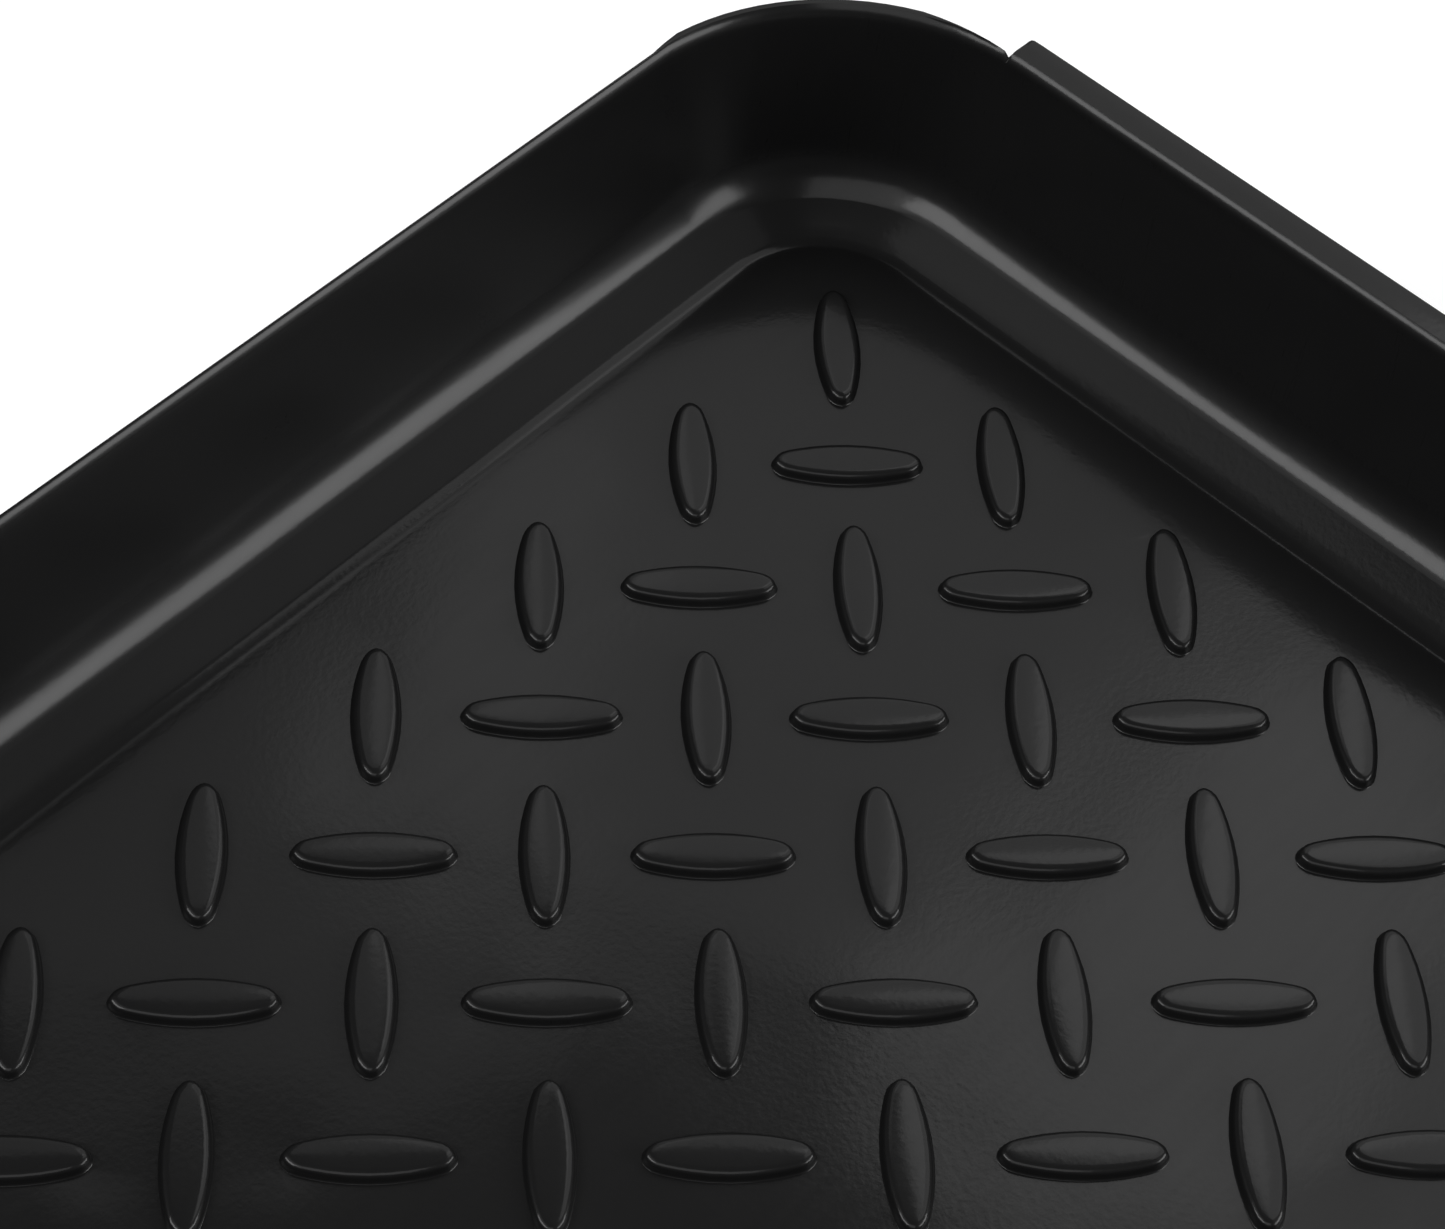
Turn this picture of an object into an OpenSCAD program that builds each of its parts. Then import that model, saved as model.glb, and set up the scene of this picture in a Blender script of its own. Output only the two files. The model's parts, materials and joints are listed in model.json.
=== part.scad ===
// Paint roller tray for a nine inch roller. One moulded shell has a treaded roll-off deck and a
// deep paint well. It stands on four rubber feet under the well and on a folding wire leg.
// Millimetres, +Z up. The well is at -Y, the shallow end at +Y, and z = 0 is the table.

/* [Treads] */
// Spacing of the treads along and across the deck
tread_pitch = 24; // [22:0.5:25]
// Length of one tread
tread_len = 16.4; // [14:0.2:17.4]
// Width of one tread
tread_w = 5.2; // [4:0.2:5.6]
// Height of one tread above the deck
tread_h = 1.2; // [0.8:0.1:1.6]
// Columns of treads across the deck
tread_cols = 11; // [10:1:12]
// Rows of treads along the deck
tread_rows = 10; // [9:1:11]

/* [Tray] */
// Thickness of the moulded wall
wall_t = 1.6; // [1.4:0.1:2]
// Foot of a side wall to the centres of the first treads
side_gap = 13.4; // [11:0.1:15]
// Foot of the end wall to the centres of the first treads
end_gap = 14.8; // [12:0.1:17]
// Corner radius at the foot of the walls
corner_r = 13; // [11:0.5:18]
// Width of the sloping band between the deck and the ledge
band_w = 6.5; // [5:0.5:7]
// Height of the ledge above the deck
ledge_h = 3; // [2:0.2:4]
// Radius of the fillet between the ledge and the wall
fillet_r = 3; // [2:0.2:4]
// Foot of the wall to its inner top edge, measured outwards
wall_top_w = 13.4; // [13:0.1:14.5]
// Height of the rim above the deck
rim_h = 26.6; // [24:0.2:32]
// Foot of the wall to the trimmed edge of the lip, measured outwards
lip_w = 14.8; // [14.6:0.1:15.4]
// Foot of the wall to the edge of the side flanges, measured outwards
flange_w = 17.4; // [16.5:0.1:20]

/* [Well] */
// Flat margin between the foot of the walls and the well
well_inset = 4; // [3:0.5:6]
// Corner radius of the well at deck level
well_corner_r = 16; // [12:1:20]
// Length of the well at deck level
well_len = 104; // [90:1:130]
// Height of the deck's lower edge above the table
deck_edge_z = 45; // [42:1:55]
// Draft of the well's walls in degrees
well_draft = 7; // [5:1:9]
// Slope of the apron from the deck down to the well in degrees
apron_slope = 55; // [45:1:60]
// Slope of the deck and rim when the tray stands, in degrees
deck_tilt = 7; // [5:0.5:9]

/* [Wire leg] */
// Diameter of the leg's wire
wire_d = 5; // [4:0.5:5.5]
// Half of the distance between the two legs
leg_x = 105; // [95:1:110]
// Lean of the open leg from upright, in degrees
leg_lean = 12; // [8:1:15]
// Foot of the end wall to the leg's hinge
hinge_setback = 30; // [26:1:40]
// Depth of the hinge below the deck's top face
hinge_drop = 14; // [13.5:0.5:16]
// Outer diameter of the rubber sleeves on the leg
sleeve_d = 9; // [8:0.5:11]

/* [Feet] */
// Diameter of a rubber foot
foot_d = 18; // [14:1:22]
// Height of a rubber foot
foot_h = 3; // [2.5:0.5:4]

/* [Hidden] */

$fn = 48;
tray_black = [0.06, 0.06, 0.065];
rubber_black = [0.12, 0.12, 0.12];
zinc = [0.72, 0.73, 0.75];

// Deck plan, at the foot of the walls. y = 0 is the deck's edge above the well.
deck_x = side_gap + tread_pitch * (tread_cols - 1) / 2;
first_row_y = tread_pitch * (tread_rows - 1) + 13.5;
deck_y_high = first_row_y + end_gap;
deck_y_low = -well_len;

// Wall section, as [outward from the wall's foot, up from the deck]
wall_top_h = rim_h - 0.9;
wall_draft = atan((wall_top_w - band_w - fillet_r * 0.82) / (wall_top_h - ledge_h));
skin = wall_t / cos(wall_draft);
fillet_c = [band_w, ledge_h + fillet_r];
fillet_steps = 5;
function arc_point(centre, r, a) = [centre[0] + r * cos(a), centre[1] + r * sin(a)];
function fillet_angles(first) =
    [for (i = [0 : fillet_steps]) first + (-wall_draft - first) * i / fillet_steps];
inner_section = concat([[0, 0]],
    [for (a = fillet_angles(-90)) arc_point(fillet_c, fillet_r, a)],
    [[wall_top_w, wall_top_h], [wall_top_w + 0.35, rim_h - 0.3], [wall_top_w + 0.9, rim_h],
     [wall_top_w + 0.9, rim_h + 4]]);
outer_section = concat([[0.4, -wall_t]],
    [for (a = fillet_angles(-85)) arc_point(fillet_c, fillet_r + wall_t, a)],
    [[lip_w, wall_top_h - (wall_top_w + skin - lip_w) / tan(wall_draft)], [lip_w, rim_h]]);

// Standing frame: the deck's lower edge is deck_edge_z above the table
y_max = deck_y_high + lip_w + 0.4;
y_min = deck_y_low - lip_w - 0.4;
stand_y = -((y_max + y_min) * cos(deck_tilt) - (2 * rim_h - 1.4) * sin(deck_tilt)) / 2;
function to_table_y(y, z) = stand_y + y * cos(deck_tilt) - z * sin(deck_tilt);
function to_table_z(y, z) = deck_edge_z + y * sin(deck_tilt) + z * cos(deck_tilt);
function level_z(y, height) = (height - deck_edge_z - y * sin(deck_tilt)) / cos(deck_tilt);

// Well
well_floor_z = foot_h + wall_t;
apron_foot_y = -(deck_edge_z - well_floor_z) / tan(apron_slope);
well_deep = 60;

// Wire leg and its hinge
wire_r = wire_d / 2;
sleeve_r = sleeve_d / 2;
hinge_y = deck_y_high - hinge_setback;
hinge_table = [0, to_table_y(hinge_y, -hinge_drop), to_table_z(hinge_y, -hinge_drop)];
leg_len = (hinge_table[2] - sleeve_r) / cos(leg_lean);
top_bend_r = 7;
low_bend_r = 12;
pin_in = 26;
brace_drop = 25;
brace_r = 2;
pin_clearance = 0.05;

// Clips and their screws. Heights are measured up from the hinge's axis.
boss_end = 6;
plate_t = 3;
clip_len = 17.5;
clip_x = leg_x - top_bend_r - 0.5 - clip_len;
barrel_r = 5.6;
clip_screw_y = 13;
boss_r = 4.6;
screw_r = 1.9;
screw_len = 8;
screw_head_r = 3.6;
screw_head_h = 2.2;
stop_gap = 0.15;
open_lean = leg_lean - deck_tilt;

// Feet under the well
foot_x = 100;
foot_y_front = to_table_y(deck_y_low, level_z(deck_y_low, 0)) + 24;
foot_y_rear = stand_y + apron_foot_y - 14;

// Places children in the deck's own sloping frame
module in_deck() {
    translate([0, stand_y, deck_edge_z]) rotate([deck_tilt, 0, 0]) children();
}

// Half of a wall section, closed back to the corner's centre
module half_section(section) {
    last = len(section) - 1;
    polygon(concat([[0, section[0][1]]], [for (p = section) [corner_r + p[0], p[1]]],
        [[0, section[last][1]]]));
}

// Both walls' sections joined across the tray
module full_section(section) {
    last = len(section) - 1;
    polygon(concat([for (p = section) [deck_x + p[0], p[1]]],
        [for (i = [last : -1 : 0]) [-deck_x - section[i][0], section[i][1]]]));
}

// Solid rounded rectangle whose walls follow a section
module dish(section) {
    side_x = deck_x - corner_r;
    translate([0, deck_y_high - corner_r, 0]) rotate([90, 0, 0])
        linear_extrude(deck_y_high - deck_y_low - 2 * corner_r) full_section(section);
    for (end = [0, 1]) {
        translate([0, end == 0 ? deck_y_high - corner_r : deck_y_low + corner_r, 0])
            mirror([0, end, 0]) {
                translate([-side_x, 0, 0]) rotate([90, 0, 90])
                    linear_extrude(2 * side_x) half_section(section);
                for (side = [0, 1]) mirror([side, 0, 0])
                    translate([side_x, 0, 0]) rotate_extrude(angle = 90) half_section(section);
            }
    }
}

// Drafted block of the well, open to the deck side. grow is the extra width all round, and
// top is the height of the block's top face above the deck.
module well_block(grow, top) {
    slope = tan(well_draft);
    side_x = deck_x - well_inset - well_corner_r;
    end_y = deck_y_low + well_inset + well_corner_r;
    top_r = well_corner_r + grow + top * slope;
    low_r = well_corner_r + grow - well_deep * slope;
    translate([0, 20, 0]) rotate([90, 0, 0]) linear_extrude(20 - end_y)
        polygon([[side_x + top_r, top], [-side_x - top_r, top],
            [-side_x - low_r, -well_deep], [side_x + low_r, -well_deep]]);
    translate([-side_x, end_y, 0]) rotate([90, 0, 90]) linear_extrude(2 * side_x)
        polygon([[0, top], [-top_r, top], [-low_r, -well_deep], [0, -well_deep]]);
    for (side = [-1, 1]) translate([side * side_x, end_y, -well_deep])
        cylinder(h = well_deep + top, r1 = low_r, r2 = top_r);
}

// Side view of the well with its level floor, as long as the tray is wide
module well_outline(floor_z, apron_shift) {
    far_y = deck_y_low - 40;
    foot_y = apron_foot_y + apron_shift;
    translate([-200, 0, 0]) rotate([90, 0, 90]) linear_extrude(400)
        polygon([[apron_shift, 5], [apron_shift, 0], [foot_y, level_z(foot_y, floor_z)],
            [far_y, level_z(far_y, floor_z)], [far_y, 5]]);
}

module well_cavity() {
    intersection() {
        well_block(0, 1);
        well_outline(well_floor_z, 0);
    }
}

module well_shell() {
    intersection() {
        well_block(wall_t, -wall_t / 2);
        well_outline(foot_h, wall_t / sin(apron_slope));
    }
}

// One tread: a long lens with blunt tips
module tread() {
    full_len = tread_len * 1.12;
    lens_r = (full_len * full_len + tread_w * tread_w) / (4 * tread_w);
    sink = 0.8;
    intersection() {
        for_lens(lens_r, 1, sink);
        for_lens(lens_r, -1, sink);
        translate([-tread_len / 2, -tread_w, -sink])
            cube([tread_len, 2 * tread_w, tread_h + sink]);
    }
}

module for_lens(lens_r, side, sink) {
    translate([0, side * (lens_r - tread_w / 2), -sink])
        cylinder(h = tread_h + sink, r = lens_r, $fn = 96);
}

module treads() {
    for (col = [0 : tread_cols - 1], row = [0 : tread_rows - 1])
        translate([deck_x - side_gap - col * tread_pitch, first_row_y - row * tread_pitch, 0])
            rotate([0, 0, 45]) tread();
    for (col = [0.5 : tread_cols - 1.5], row = [0.5 : tread_rows - 1.5])
        translate([deck_x - side_gap - col * tread_pitch, first_row_y - row * tread_pitch, 0])
            rotate([0, 0, -45]) tread();
}

// Side flanges run between the corners and end square at a small nick
module flanges() {
    flange_in = wall_top_w + 0.9;
    flange_len = deck_y_high - deck_y_low - 2 * corner_r - 1.2;
    for (side = [0, 1]) mirror([side, 0, 0])
        translate([deck_x + flange_in, deck_y_low + corner_r + 0.6, rim_h - wall_t])
            cube([flange_w - flange_in, flange_len, wall_t]);
}

// The lip stands out a little further round the four corners
module corner_lips() {
    for (sx = [0, 1], end = [0, 1])
        mirror([sx, 0, 0])
            translate([deck_x - corner_r, end == 0 ? deck_y_high - corner_r
                    : deck_y_low + corner_r, 0])
                mirror([0, end, 0]) rotate_extrude(angle = 90)
                    translate([corner_r + lip_w - 0.4, rim_h - 1.4]) square([0.8, 1.4]);
}

// Places children at each screw of the clips, in the hinge's frame
module at_clip_screws() {
    for (side = [-1, 1], end = [-1, 1])
        translate([side * (clip_x + clip_len / 2), end * clip_screw_y, 0]) children();
}

module at_stow_screws() {
    for (end = [-1, 1]) translate([0, -leg_len + end * clip_screw_y, 0]) children();
}

module in_hinge() {
    in_deck() translate([0, hinge_y, -hinge_drop]) children();
}

module bosses() {
    boss_h = hinge_drop - boss_end - wall_t + 0.6;
    translate([0, 0, boss_end]) cylinder(h = boss_h, r = boss_r);
}

module boss_bores() {
    translate([0, 0, boss_end - 1]) cylinder(h = screw_len - plate_t + 1.8, r = screw_r - 0.2);
}

module at_feet() {
    for (x = [-foot_x, foot_x], y = [foot_y_front, foot_y_rear]) translate([x, y, 0]) children();
}

module foot_socket() {
    difference() {
        translate([0, 0, foot_h / 2]) cylinder(h = foot_h / 2 + 0.8, r = foot_d / 2 + 1.6);
        translate([0, 0, -1]) cylinder(h = foot_h + 1, r = foot_d / 2 + 0.2);
    }
}

module tray() {
    color(tray_black) {
        difference() {
            union() {
                in_deck() {
                    difference() {
                        union() {
                            dish(outer_section);
                            well_shell();
                            flanges();
                            corner_lips();
                        }
                        dish(inner_section);
                        well_cavity();
                    }
                    treads();
                }
                in_hinge() {
                    at_clip_screws() bosses();
                    at_stow_screws() bosses();
                }
                at_feet() foot_socket();
            }
            in_hinge() {
                at_clip_screws() boss_bores();
                at_stow_screws() boss_bores();
            }
        }
    }
}

// Places children in the open leg's frame: hinge on X, the leg hanging along -Z
module in_leg() {
    translate(hinge_table) rotate([leg_lean, 0, 0]) children();
}

module rod_x(x_low, x_high, r) {
    translate([x_low, 0, 0]) rotate([0, 90, 0]) cylinder(h = x_high - x_low, r = r);
}

// Quarter bend in the leg's plane. It starts at the given angle from +X.
module bend(radius, start) {
    rotate([90, 0, 0]) rotate([0, 0, start]) rotate_extrude(angle = 90)
        translate([radius, 0]) circle(wire_r, $fn = 32);
}

// One wire: a bottom bar, two legs, and ends turned in as the hinge pins
module leg_frame() {
    low_z = -leg_len + low_bend_r;
    color(zinc) in_leg() {
        translate([0, 0, -leg_len]) rod_x(-leg_x + low_bend_r, leg_x - low_bend_r, wire_r);
        for (side = [0, 1]) mirror([side, 0, 0]) {
            rod_x(leg_x - pin_in, leg_x - top_bend_r, wire_r);
            translate([leg_x - top_bend_r, 0, -top_bend_r]) bend(top_bend_r, 0);
            translate([leg_x, 0, low_z]) cylinder(h = -top_bend_r - low_z, r = wire_r);
            translate([leg_x - low_bend_r, 0, low_z]) bend(low_bend_r, -90);
        }
    }
}

// A thinner wire welded across between the legs
module leg_brace() {
    reach = leg_x - 1;
    color(zinc) in_leg() translate([0, 0, -brace_drop]) rod_x(-reach, reach, brace_r);
}

module leg_sleeve(side) {
    sleeve_len = 30;
    mid = side * 62;
    color(rubber_black) in_leg() translate([0, 0, -leg_len]) difference() {
        rod_x(mid - sleeve_len / 2, mid + sleeve_len / 2, sleeve_r);
        rod_x(mid - sleeve_len / 2 - 1, mid + sleeve_len / 2 + 1, wire_r);
    }
}

// Flat plate with round ends, under the bosses. span is the distance between its screws.
module clip_plate(span, width) {
    difference() {
        union() {
            translate([-width / 2, -span / 2, boss_end - plate_t]) cube([width, span, plate_t]);
            for (end = [-1, 1]) translate([0, end * span / 2, boss_end - plate_t])
                cylinder(h = plate_t, r = width / 2);
        }
        for (end = [-1, 1]) translate([0, end * span / 2, boss_end - plate_t - 1])
            cylinder(h = plate_t + 2, r = screw_r + 0.3);
    }
}

// Bearing clip: a barrel on a screwed plate, with the stop that holds the open leg
module hinge_clip(side) {
    stop_t = 4;
    stop_low = -18;
    stop_high = -10.5;
    stop_y = wire_r + stop_gap;
    color(tray_black) in_hinge() mirror([side < 0 ? 1 : 0, 0, 0]) difference() {
        union() {
            translate([clip_x + clip_len / 2, 0, 0]) clip_plate(2 * clip_screw_y, 11);
            rod_x(clip_x, clip_x + clip_len, barrel_r);
            translate([clip_x, -barrel_r, 0]) cube([clip_len, 2 * barrel_r, boss_end]);
            rotate([open_lean, 0, 0]) {
                translate([clip_x + 2, stop_y, stop_low])
                    cube([clip_len - 2, stop_t, -stop_low]);
                translate([clip_x + 2, stop_y, stop_low])
                    cube([leg_x + wire_r + 2 - clip_x - 2, stop_t, stop_high - stop_low]);
            }
        }
        rod_x(clip_x - 1, clip_x + clip_len + 1, wire_r + pin_clearance);
    }
}

// Two fingers that hold the bottom bar when the leg is folded
module stow_clip() {
    finger_t = 2.2;
    finger_w = 12;
    grip = wire_r + 0.3;
    color(tray_black) in_hinge() translate([0, -leg_len, 0]) {
        clip_plate(2 * clip_screw_y, 11);
        for (end = [0, 1]) mirror([0, end, 0])
            translate([-finger_w / 2, grip, -3.4]) cube([finger_w, finger_t, boss_end + 3.4 - 1]);
    }
}

// Pan head screw, pointing up, with a cross recess
module screw() {
    under_head = boss_end - plate_t;
    difference() {
        union() {
            translate([0, 0, under_head]) cylinder(h = screw_len, r = screw_r);
            translate([0, 0, under_head - screw_head_h])
                cylinder(h = screw_head_h, r1 = screw_head_r - 0.8, r2 = screw_head_r);
        }
        for (turn = [0, 90]) rotate([0, 0, turn])
            translate([-2, -0.4, under_head - screw_head_h - 1]) cube([4, 0.8, 2.2]);
    }
}

module clip_screws() {
    color(zinc) in_hinge() {
        at_clip_screws() screw();
        at_stow_screws() screw();
    }
}

// Rubber foot, bonded into its socket ring under the well
module well_foot(x, y) {
    edge = 0.8;
    color(rubber_black) translate([x, y, 0]) {
        cylinder(h = edge, r1 = foot_d / 2 - edge, r2 = foot_d / 2);
        translate([0, 0, edge]) cylinder(h = foot_h - edge, r = foot_d / 2);
    }
}

tray();
leg_frame();
leg_brace();
leg_sleeve(-1);  // leg_sleeve_left
leg_sleeve(1);  // leg_sleeve_right
hinge_clip(-1);  // hinge_clip_left
hinge_clip(1);  // hinge_clip_right
stow_clip();
clip_screws();
well_foot(-foot_x, foot_y_front);  // well_foot_front_left
well_foot(foot_x, foot_y_front);  // well_foot_front_right
well_foot(-foot_x, foot_y_rear);  // well_foot_rear_left
well_foot(foot_x, foot_y_rear);  // well_foot_rear_right
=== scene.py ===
"""Paint roller tray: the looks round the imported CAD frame. Metres, +Z up, the well at -Y."""
import bmesh
import bpy
import json
import math
from mathutils import Matrix, Vector, noise
from mathutils.geometry import delaunay_2d_cdt


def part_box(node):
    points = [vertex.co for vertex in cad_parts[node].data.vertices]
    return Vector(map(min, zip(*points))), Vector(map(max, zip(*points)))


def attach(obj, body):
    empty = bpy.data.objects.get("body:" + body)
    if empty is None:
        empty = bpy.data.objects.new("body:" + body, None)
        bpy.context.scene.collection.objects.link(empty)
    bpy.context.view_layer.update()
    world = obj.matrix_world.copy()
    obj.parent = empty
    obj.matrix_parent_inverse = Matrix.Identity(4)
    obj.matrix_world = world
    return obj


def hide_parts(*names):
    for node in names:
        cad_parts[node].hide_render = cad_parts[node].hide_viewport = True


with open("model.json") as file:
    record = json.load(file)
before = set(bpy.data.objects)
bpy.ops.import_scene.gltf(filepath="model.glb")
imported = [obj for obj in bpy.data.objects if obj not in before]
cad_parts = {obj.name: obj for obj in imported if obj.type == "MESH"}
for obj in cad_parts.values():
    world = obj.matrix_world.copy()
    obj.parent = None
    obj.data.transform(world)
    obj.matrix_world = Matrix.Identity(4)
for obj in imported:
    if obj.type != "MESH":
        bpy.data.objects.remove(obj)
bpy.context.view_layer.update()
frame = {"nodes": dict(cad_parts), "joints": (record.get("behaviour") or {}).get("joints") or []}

MM = 0.001

# ---------------------------------------------------------------- the tray's own dimensions, mm
PITCH = 24.0            # spacing of the treads
TREAD_LEN, TREAD_W, TREAD_H = 16.4, 5.2, 1.2
COLS, ROWS = 11, 10
SIDE_GAP, END_GAP = 13.4, 14.8
WALL_T = 1.6
RIM_H = 26.6
BAND_W, LEDGE_H, FILLET_R = 6.5, 3.0, 3.0
WALL_TOP_W = 13.4
FLANGE_W = 17.38
END_LIP_W, CORNER_LIP_W = 14.3, 14.9       # where the lip is trimmed without a flange
WELL_LEN, WELL_INSET, WELL_CORNER_R = 104.0, 4.0, 16.0
WELL_DRAFT, APRON_SLOPE = math.radians(7), math.radians(55)
DECK_EDGE_Z, FOOT_H = 45.0, 3.0
TILT = math.radians(7)

HALF_X = SIDE_GAP + PITCH * (COLS - 1) / 2          # foot of the side walls
FIRST_ROW_Y = PITCH * (ROWS - 1) + 13.5
Y_HIGH = FIRST_ROW_Y + END_GAP                      # foot of the end wall
Y_LOW = -WELL_LEN                                   # foot of the wall beyond the well
DRAFT = math.atan((WALL_TOP_W - BAND_W - FILLET_R * 0.82) / (RIM_H - 0.9 - LEDGE_H))

# The deck's own sloping frame: its origin is the middle of the deck's lower edge
_reach = (Y_HIGH + Y_LOW) * math.cos(TILT) - (2 * RIM_H - 1.4) * math.sin(TILT)
STAND_Y = -_reach / 2
DECK = (Matrix.Translation((0, STAND_Y * MM, DECK_EDGE_Z * MM))
        @ Matrix.Rotation(TILT, 4, "X") @ Matrix.Scale(MM, 4))


def level_z(y, height):
    """Deck-frame z of a level plane at this height above the table."""
    return (height - DECK_EDGE_Z - y * math.sin(TILT)) / math.cos(TILT)


def lerp(a, b, t):
    return a + (b - a) * t


def smooth(t):
    t = min(max(t, 0.0), 1.0)
    return t * t * (3 - 2 * t)


def ripple(x, y, z, size, amount):
    """Gentle unevenness of moulded plastic, as a displacement."""
    return amount * noise.noise(Vector((x, y, z)) / size)


# ---------------------------------------------------------------- mesh helpers

class Shell:
    """Points and faces of one closed mesh, built from loops of point numbers."""

    def __init__(self):
        self.points = []
        self.faces = []

    def loop(self, coords):
        start = len(self.points)
        self.points.extend(coords)
        return list(range(start, len(self.points)))

    def strip(self, low, high):
        count = len(low)
        for i in range(count):
            j = (i + 1) % count
            self.faces.append((low[i], low[j], high[j], high[i]))

    def stack(self, loops):
        for low, high in zip(loops, loops[1:]):
            self.strip(low, high)

    def fill(self, outer, holes=(), spacing=0.0, height=None):
        """Triangles between an outer loop and holes, with loose points between for unevenness."""
        loops = [outer] + list(holes)
        ids = [i for loop in loops for i in loop]
        flat = [Vector(self.points[i][:2]) for i in ids]
        edges, start = [], 0
        for loop in loops:
            count = len(loop)
            edges += [(start + k, start + (k + 1) % count) for k in range(count)]
            start += count
        outlines = [[Vector(self.points[i][:2]) for i in loop] for loop in loops]
        if spacing:
            for spot in grid_inside(outlines, spacing):
                ids.append(len(self.points))
                self.points.append((spot.x, spot.y, height(spot.x, spot.y)))
                flat.append(spot)
        out_points, _, out_faces, origin, _, _ = delaunay_2d_cdt(flat, edges, [], 0, 1e-5, True)
        named = []
        for spot, from_ids in zip(out_points, origin):
            named.append(ids[from_ids[0]])
        finder = HoleFinder(outlines[1:])
        for face in out_faces:
            middle = sum((out_points[i] for i in face), Vector((0, 0))) / len(face)
            if inside(middle, outlines[0]) and not finder.holds(middle):
                self.faces.append(tuple(named[i] for i in face))

    def build(self, name, matrix, sharp_angle=35):
        mesh = bpy.data.meshes.new(name)
        mesh.from_pydata([matrix @ Vector(p) for p in self.points], [], self.faces)
        mesh.validate()
        return finish_mesh(mesh, name, sharp_angle)


def finish_mesh(mesh, name, sharp_angle):
    """Outward faces, smooth shading up to sharp_angle degrees, and an object for the mesh."""
    bm = bmesh.new()
    bm.from_mesh(mesh)
    bmesh.ops.recalc_face_normals(bm, faces=bm.faces)
    bm.to_mesh(mesh)
    bm.free()
    mesh.shade_smooth()
    mesh.set_sharp_from_angle(angle=math.radians(sharp_angle))
    piece = bpy.data.objects.new(name, mesh)
    bpy.context.scene.collection.objects.link(piece)
    return piece


def inside(spot, outline):
    """Even-odd test of a point in a closed outline."""
    odd = False
    last = outline[-1]
    for point in outline:
        if (point.y > spot.y) != (last.y > spot.y):
            if spot.x < (last.x - point.x) * (spot.y - point.y) / (last.y - point.y) + point.x:
                odd = not odd
        last = point
    return odd


class HoleFinder:
    def __init__(self, outlines):
        self.boxes = [(min(p.x for p in o), max(p.x for p in o), min(p.y for p in o),
                       max(p.y for p in o), o) for o in outlines]

    def holds(self, spot, margin=0.0):
        for x0, x1, y0, y1, outline in self.boxes:
            if x0 - margin < spot.x < x1 + margin and y0 - margin < spot.y < y1 + margin:
                if margin or inside(spot, outline):
                    return True
        return False


def grid_inside(outlines, spacing):
    """Points of a grid that are inside the first outline and clear of the rest."""
    outer = outlines[0]
    finder = HoleFinder(outlines[1:])
    low_x, high_x = min(p.x for p in outer), max(p.x for p in outer)
    low_y, high_y = min(p.y for p in outer), max(p.y for p in outer)
    spots = []
    rows = int((high_y - low_y) / spacing)
    columns = int((high_x - low_x) / spacing)
    for row in range(1, rows):
        for column in range(1, columns):
            spot = Vector((low_x + column * spacing, low_y + row * spacing))
            near_edge = any(not inside(spot + Vector(step), outer)
                            for step in ((2, 0), (-2, 0), (0, 2), (0, -2)))
            if not near_edge and not finder.holds(spot, 0.6):
                spots.append(spot)
    return spots


# ---------------------------------------------------------------- tray: walls and rim

def corner_radius(w):
    """Corner radius of the outline that lies w outwards of the walls' foot."""
    return 11.3 + 1.49 * w - 0.0162 * w * w


def evenly(first, last, count):
    """Numbers from first to last in this many equal steps."""
    return [lerp(first, last, i / count) for i in range(count + 1)]


# Where the side flange ends and the nick beside it, in degrees round the corner from the side
FLANGE_END = 3.4
CORNER_STATIONS = ([0, 1.1, 1.9, 2.5, 3.0, 3.25, FLANGE_END, 3.75, 4.1, 4.6, 5.6, 7]
                   + [10 + 4 * i for i in range(20)] + [88.5, 90])


def stations():
    """Places round the tray, in order: corner ones are (sx, sy, angle, None), side ones end in
    the share of the way along the straight."""
    straight = [(i + 1) / 25 for i in range(24)]
    ring = []
    ring += [(1, 1, a, None) for a in CORNER_STATIONS]
    ring += [(0, 1, None, t) for t in straight]
    ring += [(-1, 1, a, None) for a in reversed(CORNER_STATIONS)]
    ring += [(-1, 0, None, t) for t in straight]
    ring += [(-1, -1, a, None) for a in CORNER_STATIONS]
    ring += [(0, -1, None, t) for t in straight]
    ring += [(1, -1, a, None) for a in reversed(CORNER_STATIONS)]
    ring += [(1, 0, None, t) for t in straight]
    return ring


def plan_point(station, w):
    sx, sy, angle, share = station
    r = corner_radius(w)
    x_end = HALF_X + w - r
    y_top, y_bottom = Y_HIGH + w - r, Y_LOW - w + r
    if angle is not None:
        y_end = y_top if sy > 0 else y_bottom
        a = math.radians(angle)
        return sx * (x_end + r * math.cos(a)), y_end + sy * r * math.sin(a)
    if sx == 0:
        y = Y_HIGH + w if sy > 0 else Y_LOW - w
        return lerp(x_end, -x_end, share) * sy, y
    if sx < 0:
        return -HALF_X - w, lerp(y_top, y_bottom, share)
    return HALF_X + w, lerp(y_bottom, y_top, share)


def trim_edge(station):
    """How far out the rim is trimmed: flanges on the long sides, a thin lip elsewhere."""
    sx, sy, angle, share = station
    if angle is None:
        return FLANGE_W if sx else END_LIP_W
    steps = [(0, FLANGE_W), (2.5, FLANGE_W), (3.0, FLANGE_W - 0.15), (3.25, FLANGE_W - 0.5),
             (FLANGE_END, FLANGE_W - 1.1), (3.75, 14.9), (4.1, 13.75), (4.6, 13.85), (5.6, 14.05),
             (26, CORNER_LIP_W), (82, CORNER_LIP_W), (90, END_LIP_W)]
    for (a0, w0), (a1, w1) in zip(steps, steps[1:]):
        if angle <= a1:
            return lerp(w0, w1, (angle - a0) / (a1 - a0))
    return END_LIP_W


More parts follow.
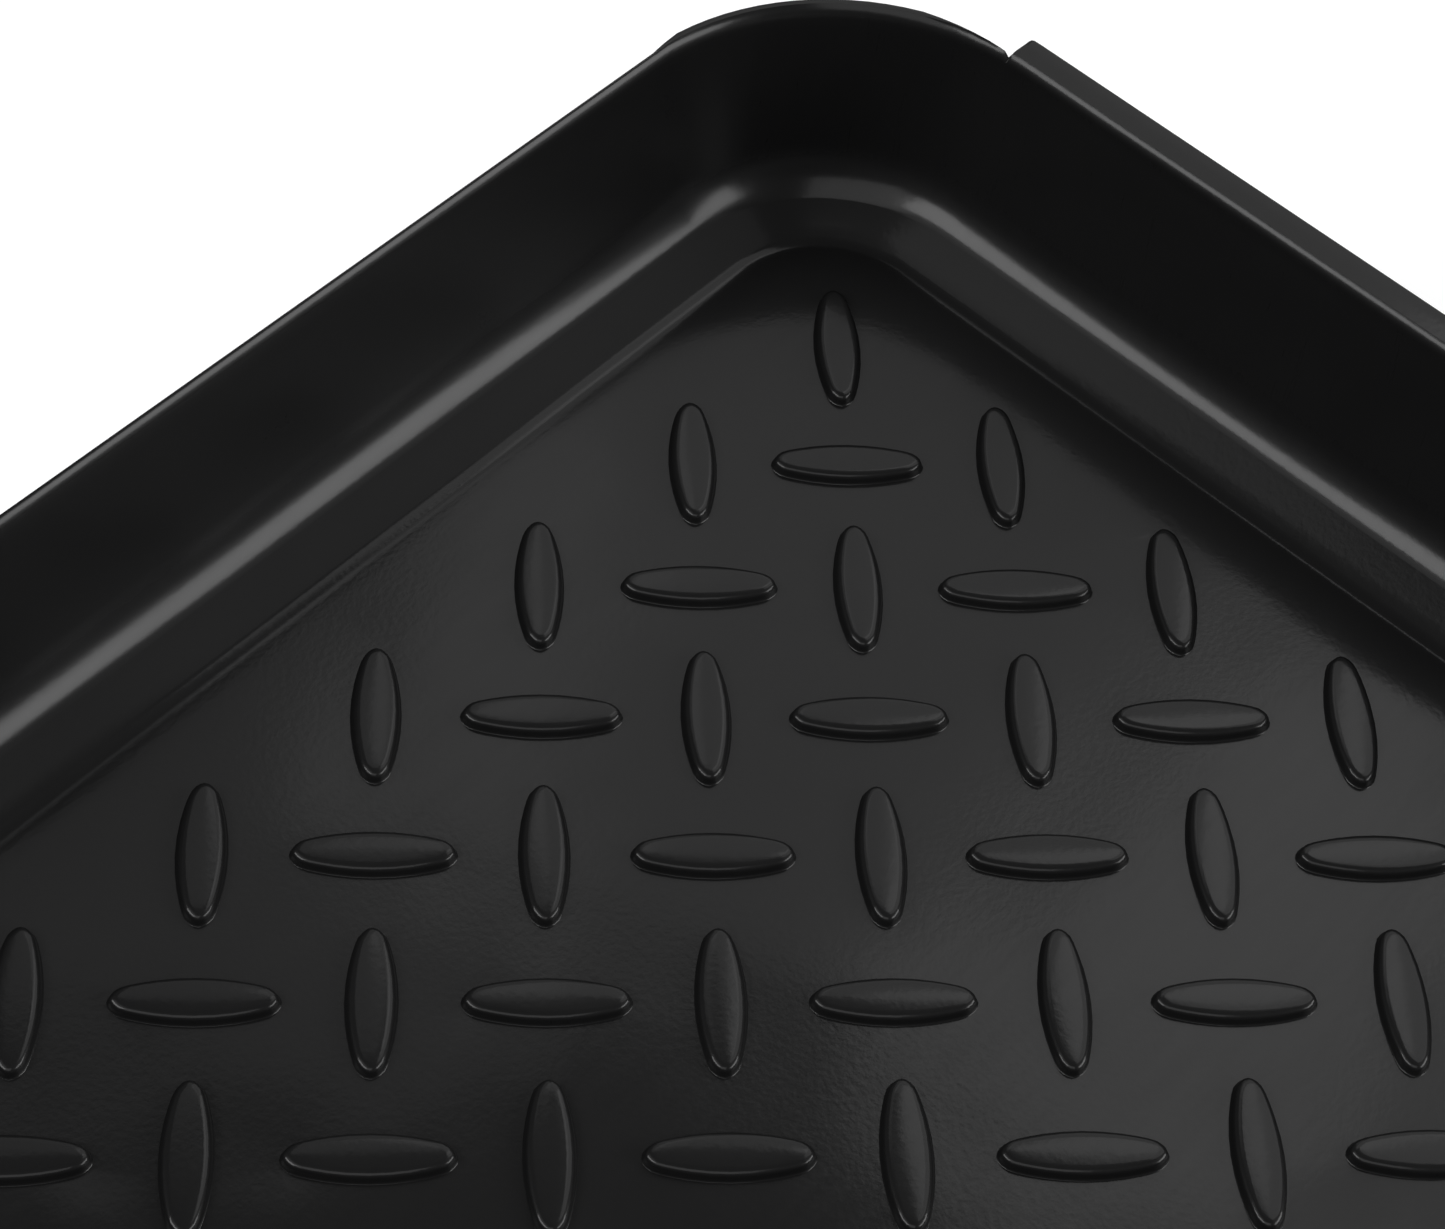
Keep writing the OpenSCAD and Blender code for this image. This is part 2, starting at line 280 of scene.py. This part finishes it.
WALL_END = (13.2, 24.89)
CURL_R = 2.4                            # curl from the wall over to the rim
RIM_BEND_W = 14.15                      # where the curl meets the nearly flat rim
BAND_SLOPE = math.radians(27)
CREASE_R = 4.4                          # hollow between the deck and the sloping band
BAND_END = (6.4, 2.95)
COVE_SLOPE = math.radians(36)           # the cove above the band starts this steep
WALL_SLOPE = math.pi / 2 - DRAFT


def cove_radius():
    """Radius that takes the cove from the band's edge to the straight wall."""
    rise = math.cos(COVE_SLOPE) - math.cos(WALL_SLOPE)
    run = math.sin(WALL_SLOPE) - math.sin(COVE_SLOPE)
    lean = math.tan(DRAFT)
    foot = WALL_END[0] - (WALL_END[1] - BAND_END[1]) * lean
    return (foot - BAND_END[0]) / (run - rise * lean)


COVE_R = cove_radius()
COVE_CENTRE = (BAND_END[0] - COVE_R * math.sin(COVE_SLOPE),
               BAND_END[1] + COVE_R * math.cos(COVE_SLOPE))


def cove_point(slope, radius):
    return (COVE_CENTRE[0] + radius * math.sin(slope), COVE_CENTRE[1] - radius * math.cos(slope))


def rim_top(w):
    """Height of the rim's upper face at w, over the curl and the flat beyond it."""
    sine = math.sin(WALL_SLOPE) - (min(w, RIM_BEND_W) - WALL_END[0]) / CURL_R
    height = WALL_END[1] + CURL_R * (math.sqrt(1 - sine * sine) - math.cos(WALL_SLOPE))
    return height + 0.05 * max(w - RIM_BEND_W, 0)


def inner_section(edge):
    pts = [(-1.2, 0), (-0.4, 0.0)]
    for slope in evenly(0, BAND_SLOPE, 5):
        pts.append((CREASE_R * math.sin(slope), CREASE_R * (1 - math.cos(slope))))
    foot = pts[-1]
    for t in (0.3, 0.65, 0.96, 1.0):
        pts.append((lerp(foot[0], BAND_END[0], t), lerp(foot[1], BAND_END[1], t)))
    for slope in evenly(COVE_SLOPE, WALL_SLOPE, 9)[1:]:
        pts.append(cove_point(slope, COVE_R))
    foot = pts[-1]
    for t in (0.25, 0.5, 0.75, 0.93):
        pts.append((lerp(foot[0], WALL_END[0], t), lerp(foot[1], WALL_END[1], t)))
    top_end = edge - 0.3
    bend = min(RIM_BEND_W, top_end - 0.15)
    for w in evenly(WALL_END[0], bend, 5) + [lerp(bend, top_end, t) for t in (0.06, 0.5, 1)]:
        pts.append((w, rim_top(w)))
    return pts


def outer_section(edge):
    """From the trimmed edge down the outside to the underside."""
    flange = smooth((edge - 15.2) / 1.2)
    top = rim_top(edge)
    skin = WALL_T / math.cos(DRAFT)
    pts = [(edge - 0.1, top - 0.06), (edge, top - 0.3), (edge, top - 1.2),
           (edge - 0.25 * flange, top - 1.5)]
    pts.append((lerp(edge, 15.9, flange), RIM_H - WALL_T))
    pts.append((lerp(max(edge - 0.1, 14.8), 15.15, flange), RIM_H - WALL_T - 0.35))
    pts.append((14.75, 24.1))
    foot = cove_point(WALL_SLOPE, COVE_R)
    for t in (0.8, 0.5, 0.2):
        pts.append((lerp(foot[0], WALL_END[0], t) + skin, lerp(foot[1], WALL_END[1], t)))
    for slope in evenly(WALL_SLOPE, COVE_SLOPE, 6):
        pts.append(cove_point(slope, COVE_R + WALL_T))
    pts += [(4.9, 0.42), (2.9, -0.75), (2.0, -1.2), (1.1, -1.5), (0.3, -WALL_T), (-0.1, -WALL_T)]
    return pts


# Of the points of the inner section, those before the wall and those of the curl and rim
BELOW_WALL, ABOVE_WALL = 13, 9


def wall_point(station, w, h, k, inner_count):
    """A point of the wall, with the small unevenness of the real surface."""
    x, y = plan_point(station, w)
    if BELOW_WALL < k < inner_count - ABOVE_WALL:
        x, y = plan_point(station, w + ripple(x, y, h, 26.0, 0.16))
    return (x, y, h)


def build_walls(shell):
    """Returns the loops at the deck and at the underside, to which the floors join."""
    ring = stations()
    edges = [trim_edge(s) for s in ring]
    sections = [inner_section(e) + outer_section(e) for e in edges]
    inner_count = len(inner_section(END_LIP_W))
    loops = []
    for k in range(len(sections[0])):
        loops.append(shell.loop([wall_point(s, *section[k], k, inner_count)
                                 for s, section in zip(ring, sections)]))
    shell.stack(loops)
    return loops[0], loops[-1]


# ---------------------------------------------------------------- tray: treads

LENS_STRETCH = 1.3       # the lens's own length, before its ends are cut blunt
TIP_LEN = 1.3            # rounded part at each end


def tread_width(along, length, width):
    """Half width of the blunt lens at this distance along it."""
    full = length * LENS_STRETCH
    r = (full * full + width * width) / (4 * width)
    lens = math.sqrt(max(r * r - along * along, 0)) - (r - width / 2)
    tip = length / 2 - TIP_LEN
    over = max(abs(along) - tip, 0) / TIP_LEN
    return lens * math.sqrt(max(1 - over * over, 0))


# Shares of the half length at which a tread's outline has points
TREAD_STEPS = [-1, -0.985, -0.95, -0.89, -0.8, -0.66, -0.48, -0.25, 0,
               0.25, 0.48, 0.66, 0.8, 0.89, 0.95, 0.985, 1]
# How far in from the foot, and how high, the points of a tread's side are
TREAD_SIDE = [(-0.45, 0.0), (0.0, 0.0), (0.08, 0.06), (0.16, 0.28), (0.24, 0.62), (0.35, 0.9),
              (0.55, 1.08), (0.85, 1.17), (1.2, 1.2)]


def tread_loop(centre, angle, inset, height):
    length, width = TREAD_LEN + 0.4 - 2 * inset, TREAD_W + 0.1 - 2 * inset
    steps = [s * length / 2 for s in TREAD_STEPS]
    upper = [(s, tread_width(s, length, width)) for s in steps]
    lower = [(s, -w) for s, w in reversed(upper[1:-1])]
    ca, sa = math.cos(angle), math.sin(angle)
    return [(centre[0] + x * ca - y * sa, centre[1] + x * sa + y * ca, height)
            for x, y in upper + lower]


def tread_places():
    for half in (0, 0.5):
        turn = math.radians(45 if half == 0 else -45)
        for column in range(COLS - (1 if half else 0)):
            for row in range(ROWS - (1 if half else 0)):
                yield ((HALF_X - SIDE_GAP - (column + half) * PITCH,
                        FIRST_ROW_Y - (row + half) * PITCH), turn)


def build_treads(shell):
    """Returns the foot loops, which are holes in the deck."""
    feet = []
    for centre, turn in tread_places():
        rise = TREAD_H * (1 + ripple(centre[0], centre[1], 3.0, 17.0, 0.05))
        loops = [shell.loop(tread_loop(centre, turn, inset, height * rise / TREAD_H))
                 for inset, height in TREAD_SIDE]
        shell.stack(loops)
        cap_tread(shell, loops[-1])
        feet.append(loops[0])
    return feet


def cap_tread(shell, loop):
    """Quads across a tread's flat top, between its two long sides."""
    count = len(TREAD_STEPS)
    upper = loop[:count]
    lower = [loop[0]] + list(reversed(loop[count:])) + [loop[count - 1]]
    for i in range(count - 1):
        quad = (upper[i], upper[i + 1], lower[i + 1], lower[i])
        shell.faces.append(tuple(dict.fromkeys(quad)))


# ---------------------------------------------------------------- tray: well

FLOOR_CORNER_R = 9.0
# Typical depth of the well's sides, and the y at which the apron's depth is taken
SIDE_DEPTH, APRON_Y = 36.0, -28.0


def profile(top_r, low_r, slope, depth):
    """Points down a wall of this slope: rounded at the top and at the foot. Each is (inwards of
    the nominal edge, share of the depth)."""
    back = top_r * math.tan(slope / 2)
    pts = [(-back - 0.8, 0.0)]
    for a in evenly(0, slope, 5):
        pts.append((-back + top_r * math.sin(a), top_r * (1 - math.cos(a))))
    reach = depth / math.tan(slope)
    ahead = low_r * math.tan(slope / 2)
    for t in (0.35, 0.65):
        pts.append((lerp(pts[6][0], reach - ahead * math.cos(slope), t),
                    lerp(pts[6][1], depth - ahead * math.sin(slope), t)))
    for a in evenly(slope, 0, 6):
        pts.append((reach + ahead - low_r * math.sin(a), depth - low_r * (1 - math.cos(a))))
    return [(u, d / depth) for u, d in pts]


def well_loops(shell, grow, floor_height, top_z, top_r, low_r):
    """Rounded rectangles from the deck down to the well's floor. The apron side slopes more."""
    side_slope = math.pi / 2 - WELL_DRAFT
    side = profile(top_r, low_r, side_slope, SIDE_DEPTH)
    apron_depth = top_z - level_z(APRON_Y, floor_height)
    apron = profile(top_r * 3.2, low_r * 1.3, APRON_SLOPE, apron_depth)
    loops = []
    for k in range(len(side)):
        u, share = side[k]
        v, apron_share = apron[k]
        grow_in = grow - u
        half_x = HALF_X - WELL_INSET + grow_in
        y_low = Y_LOW + WELL_INSET - grow_in
        y_high = -v + grow * 1.1
        r = lerp(WELL_CORNER_R + grow, FLOOR_CORNER_R + grow, k / (len(side) - 1))
        coords = []
        for sx, sy, flip in ((1, 1, 0), (-1, 1, 1), (-1, -1, 0), (1, -1, 1)):
            angles = evenly(0, 90, 10)
            if flip:
                angles = list(reversed(angles))
            for a in angles:
                c, s = math.cos(math.radians(a)), math.sin(math.radians(a))
                x = sx * (half_x - r + r * c)
                y = (y_high - r + r * s) if sy > 0 else (y_low + r - r * s)
                blend = smooth(a / 90) if sy > 0 else 0.0
                depth_share = lerp(share, apron_share, blend)
                coords.append((x, y, lerp(top_z, level_z(y, floor_height), depth_share)))
        loops.append(shell.loop(coords))
    return loops


# ---------------------------------------------------------------- tray: underside

LEG = frame["joints"][0]
HINGE = DECK.inverted() @ Vector(LEG["pos_m"])
BOSS_R, BORE_R, BOSS_END = 4.6, 1.7, -8.0
SCREW_OUT, CLIP_PLATE_W = 13.0, 17.5
WIRE_R = 2.5


def circle(centre, r, z, count=28):
    return [(centre[0] + r * math.cos(math.tau * i / count),
             centre[1] + r * math.sin(math.tau * i / count), z) for i in range(count)]


def boss_places():
    clip_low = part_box("hinge_clip_right")[0]
    stow_low, stow_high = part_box("stow_clip")
    # the clip's bearing and plate start at its inner end; the stop reaches further out
    clip_x = clip_low.x / MM + CLIP_PLATE_W / 2
    stow_y = (DECK.inverted() @ ((stow_low + stow_high) / 2)).y
    for out in (-SCREW_OUT, SCREW_OUT):
        yield clip_x, HINGE.y + out
        yield -clip_x, HINGE.y + out
        yield 0.0, stow_y + out


def build_bosses(shell):
    holes = []
    for place in boss_places():
        loops = [shell.loop(circle(place, r, z)) for r, z in (
            (BOSS_R + 1.0, -WALL_T), (BOSS_R + 0.35, -WALL_T - 0.25), (BOSS_R, -WALL_T - 1.0),
            (BOSS_R - 0.1, BOSS_END + 0.3), (BOSS_R - 0.35, BOSS_END),
            (BORE_R + 0.15, BOSS_END), (BORE_R, BOSS_END + 0.2), (BORE_R, -2.6))]
        shell.stack(loops)
        shell.fill(loops[-1])
        holes.append(loops[0])
    return holes


def feet_places():
    for node in sorted(frame["nodes"]):
        if node.startswith("well_foot"):
            low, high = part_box(node)
            middle = DECK.inverted() @ Vector(((low.x + high.x) / 2, (low.y + high.y) / 2,
                                              FOOT_H * MM))
            yield middle.x, middle.y, (high.x - low.x) / 2 / MM


def build_foot_rings(shell):
    """Low rings round the rubber feet, on the well's level underside."""
    holes = []
    for x, y, r in feet_places():
        def ring(radius, drop):
            flat = circle((x, y), radius, 0)
            return shell.loop([(px, y + (py - y) * math.cos(TILT),
                                level_z(y + (py - y) * math.cos(TILT), FOOT_H) - drop)
                               for px, py, _ in flat])
        loops = [ring(r + 2.0, 0), ring(r + 1.7, 0.2), ring(r + 1.6, 1.2), ring(r + 1.4, 1.5),
                 ring(r + 0.5, 1.5), ring(r + 0.3, 1.3), ring(r + 0.25, 0.0)]
        shell.stack(loops)
        shell.fill(loops[-1])
        holes.append(loops[0])
    return holes


def build_tray():
    shell = Shell()
    deck_edge, under_edge = build_walls(shell)
    treads = build_treads(shell)
    well = well_loops(shell, grow=0.0, floor_height=FOOT_H + WALL_T, top_z=0.0,
                      top_r=1.8, low_r=4.8)
    shell.stack(well)

    def deck_height(x, y):
        return ripple(x, y, 0.0, 27.0, 0.17) + ripple(x, y, 5.0, 13.0, 0.05)

    shell.fill(deck_edge, treads + [well[0]], spacing=6.5, height=deck_height)

    def floor_height(x, y):
        return level_z(y, FOOT_H + WALL_T) + ripple(x, y, 7.0, 40.0, 0.1)

    shell.fill(well[-1], spacing=9.0, height=floor_height)
    outside = well_loops(shell, grow=WALL_T, floor_height=FOOT_H, top_z=-WALL_T,
                         top_r=0.9, low_r=6.0)
    shell.stack(outside)
    shell.fill(under_edge, [outside[0]] + build_bosses(shell))
    shell.fill(outside[-1], build_foot_rings(shell))
    return shell.build("tray_shell", DECK)


# ---------------------------------------------------------------- rubber pieces and welds

def turned(name, middle, axis, profile, count, hollow=False, lumps=0.0):
    """A turned shape: profile points are (along the axis, radius) in mm from its middle."""
    shell = Shell()
    loops = []
    for along, radius in profile:
        ring = []
        for x, y, z in circle((0, 0), radius, along, count):
            swell = 1 + ripple(x + middle.x / MM, y, z, 1.3, lumps)
            ring.append((x * swell, y * swell, z))
        loops.append(shell.loop(ring))
    shell.stack(loops)
    if hollow:
        shell.strip(loops[-1], loops[0])
    else:
        shell.faces += [tuple(loops[0]), tuple(loops[-1])]
    turn = axis.to_track_quat("Z", "Y").to_matrix().to_4x4()
    return shell.build(name, Matrix.Translation(middle) @ turn @ Matrix.Scale(MM, 4))


def build_sleeve(node):
    """Ribbed rubber tube round the leg's foot bar."""
    low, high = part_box(node)
    half, r = (high.x - low.x) / 2 / MM, (high.z - low.z) / 2 / MM
    end = [(half - 0.9, r), (half - 0.25, r - 0.35), (half, r - 0.9), (half, WIRE_R + 0.4),
           (half - 0.4, WIRE_R)]
    profile = [(-along, radius) for along, radius in reversed(end)]
    for i in range(9):
        at = lerp(-half + 3.2, half - 3.2, i / 8)
        profile += [(at - 0.6, r), (at - 0.4, r - 0.3), (at + 0.4, r - 0.3), (at + 0.6, r)]
    return turned(node + "_ribbed", (low + high) / 2, Vector((1, 0, 0)), profile + end, 40, True)


def build_foot(node):
    """Rubber disc with a rounded edge and two grooves in its underside."""
    low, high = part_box(node)
    r, top = (high.x - low.x) / 2 / MM, (high.z - low.z) / MM
    profile = [(0.35, 1.6), (0.3, 2.1), (0.0, 2.6), (0.0, 5.1), (0.35, 5.4), (0.35, 6.2),
               (0.0, 6.5), (0.0, r - 0.8), (0.15, r - 0.3), (0.5, r - 0.03), (0.9, r),
               (top - 0.4, r), (top - 0.1, r - 0.15), (top, r - 0.5)]
    middle = (low + high) / 2
    middle.z = low.z
    return turned(node + "_grooved", middle, Vector((0, 0, 1)), profile, 48)


def build_weld(side):
    """Bead of weld where the brace meets a side of the wire leg."""
    brace_low, brace_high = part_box("leg_brace")
    wire_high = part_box("leg_frame")[1]
    middle = (brace_low + brace_high) / 2
    middle.x = side * (wire_high.x - 2 * WIRE_R * MM)
    profile = [(-2.3, 1.9), (-2.2, 2.06), (-1.6, 2.3), (-1.0, 2.75), (-0.5, 2.95), (0.0, 3.0),
               (0.5, 2.9), (1.0, 2.6), (1.6, 2.1)]
    return turned("weld_" + ("left" if side < 0 else "right"), middle, Vector((side, 0, 0)),
                  profile, 28, lumps=0.09)


# ---------------------------------------------------------------- materials

def new_material(name):
    material = bpy.data.materials.new(name)
    material.use_nodes = True
    nodes = material.node_tree.nodes
    links = material.node_tree.links
    return material, nodes, links, nodes["Principled BSDF"]


def noise_node(nodes, links, coords, scale, detail=2.0, rough=0.5, stretch=None):
    texture = nodes.new("ShaderNodeTexNoise")
    texture.inputs["Scale"].default_value = scale
    texture.inputs["Detail"].default_value = detail
    texture.inputs["Roughness"].default_value = rough
    source = coords
    if stretch:
        mapping = nodes.new("ShaderNodeMapping")
        mapping.inputs["Scale"].default_value = stretch[0]
        mapping.inputs["Rotation"].default_value = stretch[1]
        links.new(coords, mapping.inputs["Vector"])
        source = mapping.outputs["Vector"]
    links.new(source, texture.inputs["Vector"])
    return texture.outputs["Fac"]


def map_range(nodes, links, value, low, high, to_low, to_high):
    node = nodes.new("ShaderNodeMapRange")
    node.inputs["From Min"].default_value = low
    node.inputs["From Max"].default_value = high
    node.inputs["To Min"].default_value = to_low
    node.inputs["To Max"].default_value = to_high
    links.new(value, node.inputs["Value"])
    return node.outputs["Result"]


def bump(nodes, links, height, distance, strength, under=None):
    node = nodes.new("ShaderNodeBump")
    node.inputs["Distance"].default_value = distance
    node.inputs["Strength"].default_value = strength
    links.new(height, node.inputs["Height"])
    if under is not None:
        links.new(under, node.inputs["Normal"])
    return node.outputs["Normal"]


def black_plastic():
    """Glossy black moulded plastic with soft waves, a faint grain and fine rub marks."""
    material, nodes, links, shader = new_material("tray_black_plastic")
    coords = nodes.new("ShaderNodeTexCoord").outputs["Object"]
    tint = nodes.new("ShaderNodeMix")
    tint.data_type = "RGBA"
    tint.inputs["A"].default_value = (0.0045, 0.0045, 0.0046, 1)
    tint.inputs["B"].default_value = (0.0065, 0.0065, 0.0066, 1)
    links.new(noise_node(nodes, links, coords, 38, 3), tint.inputs["Factor"])
    links.new(tint.outputs["Result"], shader.inputs["Base Color"])
    rubs = noise_node(nodes, links, coords, 90, 6, 0.7, ((1, 9, 1), (0, 0, 0.6)))
    links.new(map_range(nodes, links, rubs, 0.3, 0.75, 0.38, 0.46), shader.inputs["Roughness"])
    # the level parts are polished, the walls duller
    facing = nodes.new("ShaderNodeSeparateXYZ")
    links.new(nodes.new("ShaderNodeTexCoord").outputs["Normal"], facing.inputs["Vector"])
    gloss = nodes.new("ShaderNodeMath")
    links.new(map_range(nodes, links, facing.outputs["Z"], 0.2, 0.85, 0.27, 0.1), gloss.inputs[0])
    links.new(map_range(nodes, links, rubs, 0.3, 0.75, 0.0, 0.04), gloss.inputs[1])
    links.new(gloss.outputs["Value"], shader.inputs["Coat Roughness"])
    shader.inputs["Coat Weight"].default_value = 0.33
    waves = bump(nodes, links, noise_node(nodes, links, coords, 36, 0.5), 0.0008, 0.5)
    grain = bump(nodes, links, noise_node(nodes, links, coords, 1500, 2), 0.00006, 0.12, waves)
    links.new(grain, shader.inputs["Normal"])
    links.new(grain, shader.inputs["Coat Normal"])
    shader.inputs["Specular IOR Level"].default_value = 0.07
    return material


def clip_plastic():
    material, nodes, links, shader = new_material("clip_black_plastic")
    coords = nodes.new("ShaderNodeTexCoord").outputs["Object"]
    shader.inputs["Base Color"].default_value = (0.016, 0.016, 0.017, 1)
    spots = noise_node(nodes, links, coords, 400, 4)
    links.new(map_range(nodes, links, spots, 0.3, 0.7, 0.42, 0.56), shader.inputs["Roughness"])
    links.new(bump(nodes, links, noise_node(nodes, links, coords, 2600, 3), 0.00005, 0.5),
              shader.inputs["Normal"])
    return material


def rubber():
    material, nodes, links, shader = new_material("black_rubber_grip")
    coords = nodes.new("ShaderNodeTexCoord").outputs["Object"]
    dust = noise_node(nodes, links, coords, 260, 5, 0.65)
    tint = nodes.new("ShaderNodeMix")
    tint.data_type = "RGBA"
    tint.inputs["A"].default_value = (0.014, 0.014, 0.014, 1)
    tint.inputs["B"].default_value = (0.036, 0.035, 0.033, 1)
    links.new(map_range(nodes, links, dust, 0.45, 0.75, 0, 1), tint.inputs["Factor"])
    links.new(tint.outputs["Result"], shader.inputs["Base Color"])
    shader.inputs["Roughness"].default_value = 0.78
    links.new(bump(nodes, links, noise_node(nodes, links, coords, 1800, 3), 0.00008, 0.6),
              shader.inputs["Normal"])
    return material


def zinc():
    """Bright zinc plate: metal with faint drawing lines along the wire and dull patches."""
    material, nodes, links, shader = new_material("zinc_plate")
    coords = nodes.new("ShaderNodeTexCoord").outputs["Object"]
    shader.inputs["Metallic"].default_value = 1.0
    patches = noise_node(nodes, links, coords, 140, 4, 0.6)
    tint = nodes.new("ShaderNodeMix")
    tint.data_type = "RGBA"
    tint.inputs["A"].default_value = (0.52, 0.53, 0.55, 1)
    tint.inputs["B"].default_value = (0.66, 0.665, 0.67, 1)
    links.new(patches, tint.inputs["Factor"])
    links.new(tint.outputs["Result"], shader.inputs["Base Color"])
    links.new(map_range(nodes, links, patches, 0.3, 0.7, 0.24, 0.4), shader.inputs["Roughness"])
    lines = noise_node(nodes, links, coords, 1400, 2)
    links.new(bump(nodes, links, lines, 0.00003, 0.35), shader.inputs["Normal"])
    return material


def dress(piece, material):
    piece.data.materials.clear()
    piece.data.materials.append(material)


# ---------------------------------------------------------------- pieces

tray = build_tray()
dress(tray, black_plastic())
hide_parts("tray")
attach(tray, "tray_body")

looks = {"zinc": zinc(), "clip": clip_plastic(), "rubber": rubber()}
for name, node in list(frame["nodes"].items()):
    if name == "tray":
        continue
    if name.startswith(("leg_sleeve", "well_foot")):
        sleeve = name.startswith("leg")
        piece = build_sleeve(name) if sleeve else build_foot(name)
        dress(piece, looks["rubber"])
        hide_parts(name)
        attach(piece, "leg" if sleeve else "tray_body")
    elif name in ("leg_frame", "leg_brace", "clip_screws"):
        dress(node, looks["zinc"])
    elif "clip" in name:
        dress(node, looks["clip"])
for side in (-1, 1):
    weld = build_weld(side)
    dress(weld, looks["zinc"])
    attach(weld, "leg")

# ---------------------------------------------------------------- floor, light and camera

FLOOR_SIZE = 30
LIGHT_AIM = Vector((0.09, 0.14, 0.08))      # near the corner that the camera looks at


def stage_floor():
    bpy.ops.mesh.primitive_plane_add(size=FLOOR_SIZE, location=(0, 0, 0))
    floor = bpy.context.object
    floor.name = "floor"
    material, _, _, shader = new_material("pale_floor")
    shader.inputs["Emission Color"].default_value = (1, 1, 1, 1)
    shader.inputs["Emission Strength"].default_value = 0.17
    shader.inputs["Base Color"].default_value = (0.93, 0.93, 0.93, 1)
    shader.inputs["Roughness"].default_value = 0.9
    dress(floor, material)


def soft_light(name, turn, rise, far, size, glow):
    """A soft box seen from the tray's corner in this direction, in degrees from +X and up."""
    light = bpy.data.lights.new(name, "AREA")
    light.shape = "RECTANGLE"
    light.size, light.size_y = size
    light.energy = glow * math.pi * size[0] * size[1]
    lamp = bpy.data.objects.new(name, light)
    a, e = math.radians(turn), math.radians(rise)
    way = Vector((math.cos(e) * math.cos(a), math.cos(e) * math.sin(a), math.sin(e)))
    lamp.location = LIGHT_AIM + far * way
    lamp.rotation_euler = way.to_track_quat("Z", "Y").to_euler()
    bpy.context.scene.collection.objects.link(lamp)


def lighting():
    world = bpy.data.worlds.new("studio")
    world.use_nodes = True
    world.node_tree.nodes["Background"].inputs["Color"].default_value = (1, 1, 1, 1)
    world.node_tree.nodes["Background"].inputs["Strength"].default_value = 0.12
    bpy.context.scene.world = world
    soft_light("right", -60, 18, 1.3, (1.0, 0.54), 7.2)
    soft_light("right_high", -46, 46, 1.3, (0.7, 0.45), 0.35)
    soft_light("left", 158, 43, 1.3, (1.0, 0.42), 7.6)
    soft_light("left_high", 147, 63, 1.3, (0.7, 0.4), 0.8)
    soft_light("back_left", 47, 45, 1.5, (0.4, 1.25), 0.65)
    soft_light("back", 21, 43, 1.5, (0.6, 1.15), 1.1)
    soft_light("back_right", -10, 49, 1.5, (0.7, 0.94), 1.5)
    soft_light("front", 216, 45, 1.5, (1.2, 0.9), 1.6)
    bpy.context.scene.view_settings.view_transform = "Standard"


# The camera's place and aim in the deck's frame, mm from the foot of the far right corner
CAMERA_FROM_CORNER = Vector((-232.1, -165.65, 297.6))
AIM_FROM_CORNER = Vector((-50.2, -30.9, 0.0))
CAMERA_ROLL = math.radians(7.3)
LENS, SENSOR = 88.2, 36


def camera():
    data = bpy.data.cameras.new("camera")
    data.sensor_width = SENSOR
    data.lens = LENS
    data.clip_start = 0.01
    eye = bpy.data.objects.new("camera", data)
    bpy.context.scene.collection.objects.link(eye)
    corner = Vector((HALF_X, Y_HIGH, 0))
    look = (AIM_FROM_CORNER - CAMERA_FROM_CORNER).to_track_quat("-Z", "Y")
    turn = Matrix.Rotation(TILT, 4, "X") @ look.to_matrix().to_4x4()
    turn = turn @ Matrix.Rotation(CAMERA_ROLL, 4, "Z")
    eye.matrix_world = Matrix.Translation(DECK @ (corner + CAMERA_FROM_CORNER)) @ turn
    bpy.context.scene.camera = eye


stage_floor()
lighting()
camera()
